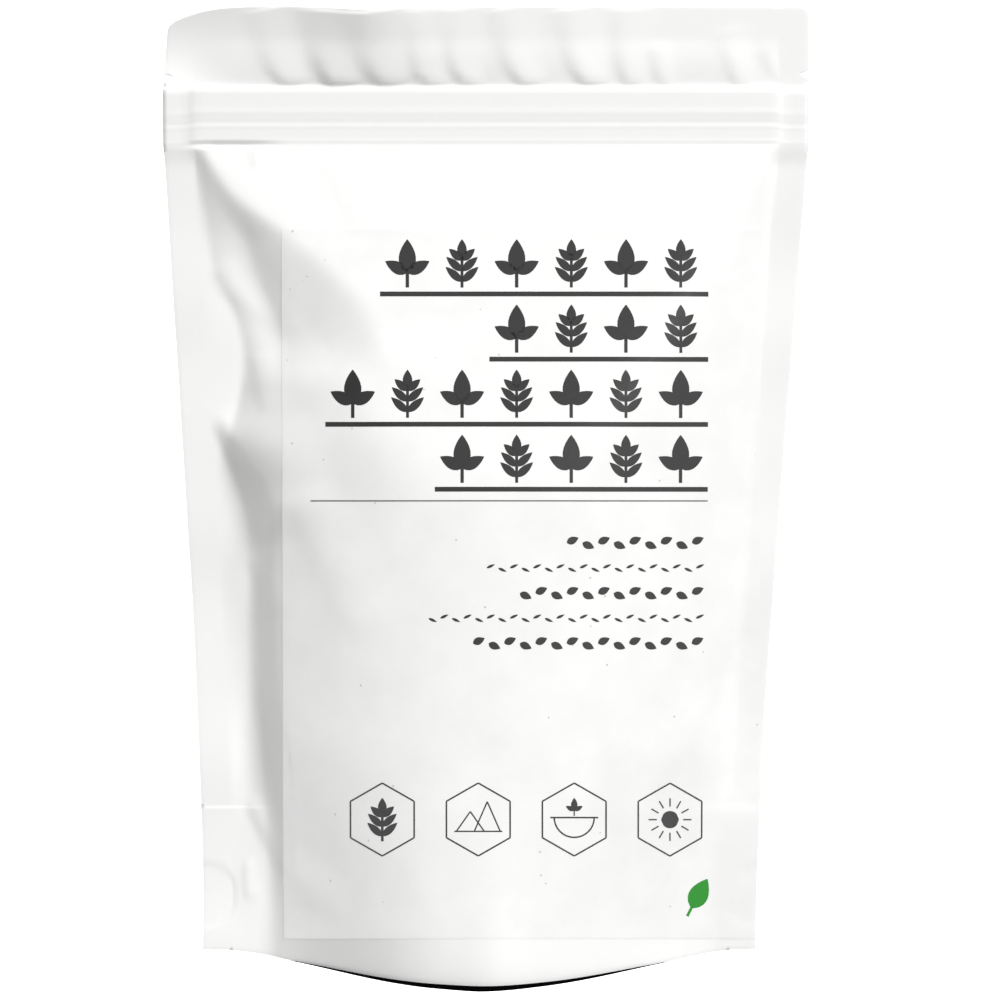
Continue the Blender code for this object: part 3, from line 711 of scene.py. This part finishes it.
def zip_polythene():
    """Extruded low-density polythene: milky, waxy, slightly see-through, with fine lines along its length."""
    made, tree, shader = new_material("milky polythene")
    set_shader(shader, "E9EDED", 0.38, 1.51, Subsurface_Weight=0.3, Subsurface_Scale=1 * MM)
    place = node(tree, "ShaderNodeTexCoord").outputs["Object"]
    along, over = 1 / DRAWN_LINE_LENGTH, 1 / DRAWN_LINE_WIDTH
    stretched = node(tree, "ShaderNodeMapping", Vector=place, Scale=(along, over, over))
    lines = node(tree, "ShaderNodeTexNoise", Vector=stretched.outputs["Vector"], Scale=1.0, Detail=2.0)
    bump = node(tree, "ShaderNodeBump", Height=lines.outputs["Fac"], Strength=0.1, Distance=0.05 * MM)
    tree.links.new(bump.outputs["Normal"], shader.inputs["Normal"])
    return made


def dried_leaf():
    """Air-dried leaf blade: dull olive with browner patches and a rough, papery surface."""
    made, tree, shader = new_material("air-dried leaf")
    set_shader(shader, "5C6236", 0.78, 1.45)
    place = node(tree, "ShaderNodeTexCoord").outputs["Object"]
    patches = node(tree, "ShaderNodeTexNoise", Vector=place, Scale=1 / LEAF_PATCH, Detail=5.0)
    colour = ramp(
        tree, patches.outputs["Fac"],
        [(0.30, linear("4A5230")), (0.55, linear("666B3B")), (0.78, linear("7F7345"))],
    )
    tree.links.new(colour, shader.inputs["Base Color"])
    bump = node(tree, "ShaderNodeBump", Height=patches.outputs["Fac"], Strength=0.3, Distance=0.3 * MM)
    tree.links.new(bump.outputs["Normal"], shader.inputs["Normal"])
    return made


def studio_paper():
    """Seamless white background paper, lit until it is almost pure white."""
    made, tree, shader = new_material("white background paper")
    set_shader(
        shader, "FFFFFF", 0.9, 1.5,
        Specular_IOR_Level=0.0, Emission_Color=(1, 1, 1, 1), Emission_Strength=0.85,
    )
    return made


def contact_shade():
    """The deep shade on the paper where the rim of the base meets it."""
    made, tree, shader = new_material("contact shade")
    set_shader(shader, "050505", 1.0, 1.5, Specular_IOR_Level=0.0)
    return made


def studio_world():
    """Even light from all round, bright overhead and dim from below."""
    world = bpy.data.worlds.new("studio_light")
    world.use_nodes = True
    tree = world.node_tree
    direction = node(tree, "ShaderNodeTexCoord").outputs["Generated"]
    height = node(tree, "ShaderNodeSeparateXYZ", Vector=direction).outputs["Z"]
    share = node(tree, "ShaderNodeMapRange", Value=height)
    share.inputs["From Min"].default_value = -1.0
    colour = ramp(tree, share.outputs["Result"], [(at, (grey, grey, grey, 1)) for at, grey in SKY])
    background = tree.nodes["Background"]
    tree.links.new(colour, background.inputs["Color"])
    background.inputs["Strength"].default_value = SKY_STRENGTH
    return world


class PouchSettings(bpy.types.PropertyGroup):
    """The sizes, colours and lights that a user would change"""

    film_thickness: bpy.props.FloatProperty(
        name="Film thickness", description="Thickness of the pouch film", default=0.15 * MM, min=0.05 * MM,
        unit="LENGTH", precision=5,
    )
    film_step: bpy.props.FloatProperty(
        name="Film mesh", description="Size of a mesh face on the front film", default=1.1 * MM, min=0.8 * MM,
        unit="LENGTH", precision=5,
    )
    label_thickness: bpy.props.FloatProperty(
        name="Label thickness", description="Thickness of the paper label", default=0.06 * MM, min=0.03 * MM,
        unit="LENGTH", precision=5,
    )
    film_colour: bpy.props.StringProperty(
        name="Film colour", description="Colour of the film as sRGB hex", default="F0F0EF",
    )
    label_colour: bpy.props.StringProperty(
        name="Label colour", description="Colour of the label paper as sRGB hex", default="C6C6C5",
    )
    key_power: bpy.props.FloatProperty(
        name="Key light", description="Power of the main light", default=210.0, min=0.0, unit="POWER",
    )
    bounce_power: bpy.props.FloatProperty(
        name="Table bounce", description="Power of the light that the table throws back on the base",
        default=0.008, min=0.0, unit="POWER",
    )


def film_grid(side, step):
    """A panel's film as rows of points from its bottom edge to its top edge."""
    columns, rows = film_columns(step), film_rows(step)
    u, v = np.meshgrid(columns, rows)
    return film_points(u, v, side)


class POUCH_OT_add_film(bpy.types.Operator):
    """Add the front and back panels of creased film"""

    bl_idname = "pouch.add_film"
    bl_label = "Add Film"

    def execute(self, context):
        settings = context.scene.pouch_settings
        film = laminate_film(settings)
        for name, side, step in (
            ("front_film", FRONT, settings.film_step),
            ("back_film", BACK, BACK_COARSENESS * settings.film_step),
        ):
            mesh = grid_mesh(name, film_grid(side, step))
            if side == BACK:
                mesh.flip_normals()
            node_name = name.replace("film", "panel")
            piece = add_piece(name, mesh, film, [node_name])
            thicken(piece, settings.film_thickness)
        return {"FINISHED"}


def seal_height(u):
    """How far up the panel the gusset is welded to it: low in the middle and high at the sides."""
    return WELD_LOW + (WELD_HIGH - WELD_LOW) * np.minimum(1.0, np.abs(u) / HALF_INSIDE) ** WELD_CURVE


def gusset_grid():
    """The gusset from its front rim over the fold to its back rim, as rows of points."""
    columns = film_columns(GUSSET_STEP_ACROSS)
    sealed = seal_height(columns)
    front, back = [], []
    for share in np.linspace(0, 1, WELD_ROWS):
        up = sealed * share
        near, far = (film_points(columns, up, side) for side in (FRONT, BACK))
        near[:, 1] += gusset_relief(columns, body_height(up))
        opened = smooth((far[:, 1] - near[:, 1] - WELDED_APART) / (2 * MM))
        inset = WELD_INSET + (OPEN_INSET - WELD_INSET) * opened
        near[:, 1] += inset
        far[:, 1] -= inset
        front.append(near)
        back.append(far)
    loose = GUSSET_DEPTH - sealed
    between = (front[-1][:, 1] + back[-1][:, 1]) / 2
    arches = []
    for weld in (front[-1], back[-1]):
        reach = np.abs(weld[:, 1] - between)
        rise = np.sqrt(np.clip(loose**2 - reach**2, 0, None))
        arch = []
        for share in np.linspace(0, 1, ARCH_ROWS + 1)[1:]:
            sag = GUSSET_SAG * np.sin(np.pi * share) * np.minimum(1.0, reach / (10 * MM))
            line = weld.copy()
            line[:, 1] = between + (weld[:, 1] - between) * (1 - share)
            line[:, 2] = weld[:, 2] + rise * share - sag
            arch.append(line)
        arches.append(arch)
    return np.array(front + arches[0] + arches[1][:-1][::-1] + back[::-1])


class POUCH_OT_add_gusset(bpy.types.Operator):
    """Add the opened gusset under the pouch"""

    bl_idname = "pouch.add_gusset"
    bl_label = "Add Gusset"

    def execute(self, context):
        settings = context.scene.pouch_settings
        film = bpy.data.materials["matt laminated film"]
        mesh = grid_mesh("gusset_film", gusset_grid())
        piece = add_piece("gusset_film", mesh, film, ["bottom_gusset"])
        thicken(piece, settings.film_thickness)
        return {"FINISHED"}


class POUCH_OT_finish_zip(bpy.types.Operator):
    """Give the zip strips their polythene"""

    bl_idname = "pouch.finish_zip"
    bl_label = "Finish Zip"

    def execute(self, context):
        polythene = zip_polythene()
        for name in ("zip_channel_strip", "zip_rib_strip"):
            set_material(bpy.data.objects[name], polythene)
        return {"FINISHED"}


def set_material(obj, finish):
    """Swaps an object's material and leaves its mesh as it is."""
    obj.data.materials.clear()
    obj.data.materials.append(finish)


class LabelSurface:
    """Finds the place on the front film behind each place on a flat sheet seen from the front."""

    def __init__(self, step):
        mesh = grid_mesh("label_guide", film_grid(FRONT, step))
        faces = [tuple(face.vertices) for face in mesh.polygons]
        self.tree = BVHTree.FromPolygons([vert.co.copy() for vert in mesh.vertices], faces)
        bpy.data.meshes.remove(mesh)

    def point(self, x, z, lift):
        """The point on the film, lift off it, behind (x, z) of the sheet, or just inside the film's edge."""
        for tries in range(EDGE_TRIES):
            target = Vector((x - math.copysign(tries * EDGE_TRY_STEP, x), 0.0, z))
            hit, normal, _, _ = self.tree.ray_cast(EYE, (target - EYE).normalized(), 2.0)
            if hit:
                outward = normal if normal.y < 0 else -normal
                return hit + outward * lift
        raise ValueError("the label runs off the film")


def conform(surface, outline_points, lift):
    """An array of points on the label from an array of (x, z) places."""
    flat = outline_points.reshape(-1, 2)
    placed = [tuple(surface.point(x, z, lift)) for x, z in flat]
    return np.array(placed).reshape(*outline_points.shape[:2], 3)


class POUCH_OT_add_label(bpy.types.Operator):
    """Add the paper label on the front"""

    bl_idname = "pouch.add_label"
    bl_label = "Add Label"

    def execute(self, context):
        settings = context.scene.pouch_settings
        surface = LabelSurface(settings.film_step)
        across = np.linspace(LABEL_LEFT, LABEL_RIGHT, LABEL_FACES[0] + 1)
        up = np.linspace(LABEL_BOTTOM, LABEL_TOP, LABEL_FACES[1] + 1)
        places = np.stack(np.meshgrid(across, up), axis=-1)
        lift = settings.film_thickness / 2 + LABEL_LIFT
        mesh = grid_mesh("paper_label", conform(surface, places, lift))
        piece = add_piece("paper_label", mesh, label_paper(settings), ["front_label"])
        thicken(piece, settings.label_thickness, 1.0)
        return {"FINISHED"}


# The print. A strip is an array of rows of (x, z) places, and each motif is a list of strips.


def ribbon(centre, half_widths, across=3):
    """A strip along a centre line."""
    ahead = np.gradient(centre, axis=0)
    ahead = ahead / np.linalg.norm(ahead, axis=1, keepdims=True)
    sideways = np.stack([-ahead[:, 1], ahead[:, 0]], axis=-1)
    offsets = np.asarray(half_widths)[:, None] * np.linspace(-1, 1, across)
    return centre[:, None, :] + sideways[:, None, :] * offsets[..., None]


def stroke(start, stop, width):
    """A straight line of ink."""
    count = max(3, math.ceil(math.dist(start, stop) / MM))
    centre = np.linspace(start, stop, count)
    return ribbon(centre, np.full(count, width / 2), 2)


def ring(x, z, radius, width, corners=48):
    """A closed line of ink: a circle, or a polygon when it has few corners."""
    turns = np.linspace(0, 2 * math.pi, corners + 1)
    tips = np.stack([x + radius * np.sin(turns), z + radius * np.cos(turns)], axis=-1)
    if corners > 12:
        return [ribbon(tips, np.full(len(tips), width / 2), 2)]
    return [stroke(a, b, width) for a, b in zip(tips[:-1], tips[1:])]


def disc(x, z, radius):
    """A round dot of ink."""
    across = np.linspace(-0.995, 0.995, 9)
    centre = np.stack([x + radius * across, np.full(9, z)], axis=-1)
    return ribbon(centre, radius * np.sqrt(1 - across**2))


def leaflet(x, z, lean, length, width):
    """A pointed leaf that grows from (x, z), leaning to the right of straight up."""
    along = np.linspace(0.01, 0.99, 9)
    centre = np.stack([x + length * along * math.sin(lean), z + length * along * math.cos(lean)], axis=-1)
    return ribbon(centre, width / 2 * np.sin(math.pi * along**0.8) ** 0.85)


def three_leaflets(x, z, height):
    """One large and two small leaflets on a short stalk."""
    fork = z + 0.30 * height
    strips = [stroke((x, z), (x, fork + 0.1 * height), 0.07 * height)]
    strips.append(leaflet(x, fork, 0, 0.7 * height, 0.36 * height))
    for way in (-1, 1):
        strips.append(leaflet(x, fork, way * math.radians(62), 0.52 * height, 0.26 * height))
    return strips


def paired_leaflets(x, z, height):
    """A straight stem with pairs of narrow leaflets."""
    strips = [stroke((x, z), (x, z + 0.7 * height), 0.06 * height)]
    strips.append(leaflet(x, z + 0.62 * height, 0, 0.38 * height, 0.2 * height))
    for share, length in ((0.12, 0.46), (0.34, 0.44), (0.56, 0.36)):
        for way in (-1, 1):
            lean = way * math.radians(48)
            strips.append(leaflet(x, z + share * height, lean, length * height, 0.17 * height))
    return strips


def sun(x, z):
    """A dot with twelve short rays."""
    strips = [disc(x, z, 2.2 * MM)]
    for turn in np.linspace(0, 2 * math.pi, 12, endpoint=False):
        way = np.array([math.sin(turn), math.cos(turn)])
        strips.append(stroke((x, z) + way * 3.3 * MM, (x, z) + way * 5.4 * MM, FINE_LINE))
    return strips


def bowl(x, z):
    """A round bowl with a sprig over it."""
    turns = np.linspace(math.pi / 2, math.pi * 1.5, 24)
    tips = np.stack([x + 5 * MM * np.sin(turns), z + 0.5 * MM + 5 * MM * np.cos(turns)], axis=-1)
    side = ribbon(tips, np.full(len(tips), OUTLINE / 2), 2)
    rim = stroke((x - 6 * MM, z + 0.5 * MM), (x + 6 * MM, z + 0.5 * MM), OUTLINE)
    return [side, rim, *three_leaflets(x, z + 0.9 * MM, 4.6 * MM)]


def hills(x, z):
    """Two peaks on a level line."""
    strips = [stroke((x - 6 * MM, z - 3 * MM), (x + 6 * MM, z - 3 * MM), FINE_LINE)]
    for left, height, right in ((-5.5, 5.0, 1.5), (-1.0, 7.5, 5.5)):
        top = (x + (left + right) / 2 * MM, z + (height - 3) * MM)
        strips.append(stroke((x + left * MM, z - 3 * MM), top, FINE_LINE))
        strips.append(stroke(top, (x + right * MM, z - 3 * MM), FINE_LINE))
    return strips


def spray_rows():
    """Rows of bold sprays, each over a thick rule, with a thin rule under them all."""
    strips = []
    for height, count in SPRAY_ROWS:
        length = count * SPRAY_PITCH
        strips.append(stroke((PRINT_RIGHT - length, height), (PRINT_RIGHT, height), THICK_RULE))
        for index in range(count):
            x = PRINT_RIGHT - (index + 0.5) * SPRAY_PITCH
            motif = three_leaflets if (index + count) % 2 else paired_leaflets
            strips += motif(x, height + 1.6 * MM, SPRAY_HEIGHT)
    start = (PRINT_RIGHT - THIN_RULE_LENGTH, THIN_RULE_HEIGHT)
    strips.append(stroke(start, (PRINT_RIGHT, THIN_RULE_HEIGHT), THIN_RULE))
    return strips


def seed_rows():
    """Rows of small seeds, bold in one row and fine in the next."""
    strips = []
    for number, (height, length) in enumerate(SEED_ROWS):
        pitch, seed, width = FINE_SEED if number % 2 else BOLD_SEED
        for index in range(int(length / pitch)):
            x = PRINT_RIGHT - (index + 1) * pitch
            strips.append(leaflet(x, height, math.radians(90 - 24 * (-1) ** index), seed, width))
    return strips


def badges():
    """A row of thin six-sided outlines, each round a simple motif."""
    strips = []
    for index, motif in enumerate((sun, bowl, hills, None)):
        x = PRINT_RIGHT - BADGE_RADIUS - index * BADGE_PITCH
        strips += ring(x, BADGE_HEIGHT, BADGE_RADIUS, OUTLINE, 6)
        strips += motif(x, BADGE_HEIGHT) if motif else paired_leaflets(x, BADGE_HEIGHT - 5.5 * MM, 11 * MM)
    return strips


class POUCH_OT_print_label(bpy.types.Operator):
    """Print the label in black, with a green leaf at its lower right"""

    bl_idname = "pouch.print_label"
    bl_label = "Print Label"

    def execute(self, context):
        settings = context.scene.pouch_settings
        surface = LabelSurface(settings.film_step)
        lift = settings.film_thickness / 2 + settings.label_thickness + INK_LIFT
        x, z = MARK_PLACE
        stalk = stroke((x, z), (x + 1.5 * MM, z + 3 * MM), 0.7 * MM)
        green = [stalk, leaflet(x + 1 * MM, z + 2 * MM, 0.5, *MARK_SIZE)]
        for name, ink, colour, strips in (
            ("printed_pattern", "black offset ink", "0A0909", spray_rows() + seed_rows() + badges()),
            ("printed_leaf_mark", "green offset ink", "0A7D0A", green),
        ):
            grids = [conform(surface, strip, lift) for strip in strips]
            add_piece(name, grid_mesh(name, *grids), printing_ink(ink, colour))
        return {"FINISHED"}


class POUCH_OT_finish_leaves(bpy.types.Operator):
    """Give the leaves inside their dried colour"""

    bl_idname = "pouch.finish_leaves"
    bl_label = "Finish Leaves"

    def execute(self, context):
        blade = dried_leaf()
        for name in LEAF_NODES:
            set_material(bpy.data.objects[name], blade)
        return {"FINISHED"}


def aim(obj, target):
    """Turns a light to face a point."""
    obj.rotation_euler = (Vector(target) - obj.location).to_track_quat("-Z", "Y").to_euler()


def area_light(name, location, size, power):
    """A round light that faces the middle of the pouch."""
    light = bpy.data.lights.new(name, "AREA")
    light.shape = "DISK"
    light.size = size
    light.energy = power
    holder = bpy.data.objects.new(name, light)
    holder.location = location
    bpy.context.scene.collection.objects.link(holder)
    aim(holder, (0, 0, MODEL_HEIGHT / 2))
    return holder


def add_contact_shade():
    """A narrow crescent on the floor before and behind the rim, widest in the middle."""
    u = np.linspace(-SHADE_REACH, SHADE_REACH, SHADE_COLUMNS)
    width = SHADE_WIDTH * np.clip(1 - np.abs(u / SHADE_REACH), 0, 1) ** 0.8
    for name, side in (("front_contact_shade", FRONT), ("back_contact_shade", BACK)):
        rim = film_points(u, np.zeros_like(u), side)
        rim[:, 2] = SHADE_LIFT
        lines = []
        for share in (-0.5, 1.0):
            line = rim.copy()
            line[:, 1] += side * share * width
            lines.append(line)
        mesh = grid_mesh(name, np.array(lines))
        shade = bpy.data.objects.new(name, mesh)
        bpy.context.scene.collection.objects.link(shade)
        mesh.materials.append(bpy.data.materials.get("contact shade") or contact_shade())


class POUCH_OT_add_studio(bpy.types.Operator):
    """Add the floor, the lights and the camera"""

    bl_idname = "pouch.add_studio"
    bl_label = "Add Studio"

    def execute(self, context):
        settings = context.scene.pouch_settings
        sides = (-PAPER_HALF_WIDTH, PAPER_HALF_WIDTH)
        mesh = grid_mesh("studio_paper", np.array([[(x, y, z) for x in sides] for y, z in PAPER_PROFILE]))
        floor = bpy.data.objects.new("studio_paper", mesh)
        context.scene.collection.objects.link(floor)
        mesh.materials.append(studio_paper())
        floor.visible_diffuse = False
        add_contact_shade()
        area_light("key_light", KEY_PLACE, KEY_SIZE, settings.key_power)
        card = area_light("table_bounce", BOUNCE_PLACE, BOUNCE_SIZE, settings.bounce_power)
        aim(card, BOUNCE_TARGET)
        context.scene.world = studio_world()
        camera = bpy.data.cameras.new("photo_camera")
        camera.sensor_width = 36.0
        camera.lens = LENS
        holder = bpy.data.objects.new("photo_camera", camera)
        holder.location = EYE
        holder.rotation_euler = (math.pi / 2 - PITCH, 0, 0)
        context.scene.collection.objects.link(holder)
        context.scene.camera = holder
        context.scene.view_settings.view_transform = "Standard"
        return {"FINISHED"}


class POUCH_PT_panel(bpy.types.Panel):
    """Lists the sizes and colours, and the buttons that add each group of pieces"""

    bl_label = "Stand-up Pouch"
    bl_idname = "POUCH_PT_panel"
    bl_space_type = "VIEW_3D"
    bl_region_type = "UI"
    bl_category = "Pouch"

    def draw(self, context):
        settings = context.scene.pouch_settings
        for name in settings.bl_rna.properties.keys():
            if name not in ("rna_type", "name"):
                self.layout.prop(settings, name)
        for operator in OPERATORS:
            self.layout.operator(operator.bl_idname)


OPERATORS = (
    POUCH_OT_add_film,
    POUCH_OT_add_gusset,
    POUCH_OT_finish_zip,
    POUCH_OT_add_label,
    POUCH_OT_print_label,
    POUCH_OT_finish_leaves,
    POUCH_OT_add_studio,
)
CLASSES = (PouchSettings, *OPERATORS, POUCH_PT_panel)


def register():
    for cls in CLASSES:
        bpy.utils.register_class(cls)
    bpy.types.Scene.pouch_settings = bpy.props.PointerProperty(type=PouchSettings)


def unregister():
    del bpy.types.Scene.pouch_settings
    for cls in reversed(CLASSES):
        bpy.utils.unregister_class(cls)


def main():
    """Builds the dressed pouch and its studio."""
    register()
    bpy.ops.pouch.add_film()
    bpy.ops.pouch.add_gusset()
    bpy.ops.pouch.finish_zip()
    bpy.ops.pouch.add_label()
    bpy.ops.pouch.print_label()
    bpy.ops.pouch.finish_leaves()
    bpy.ops.pouch.add_studio()


if __name__ == "__main__":
    main()
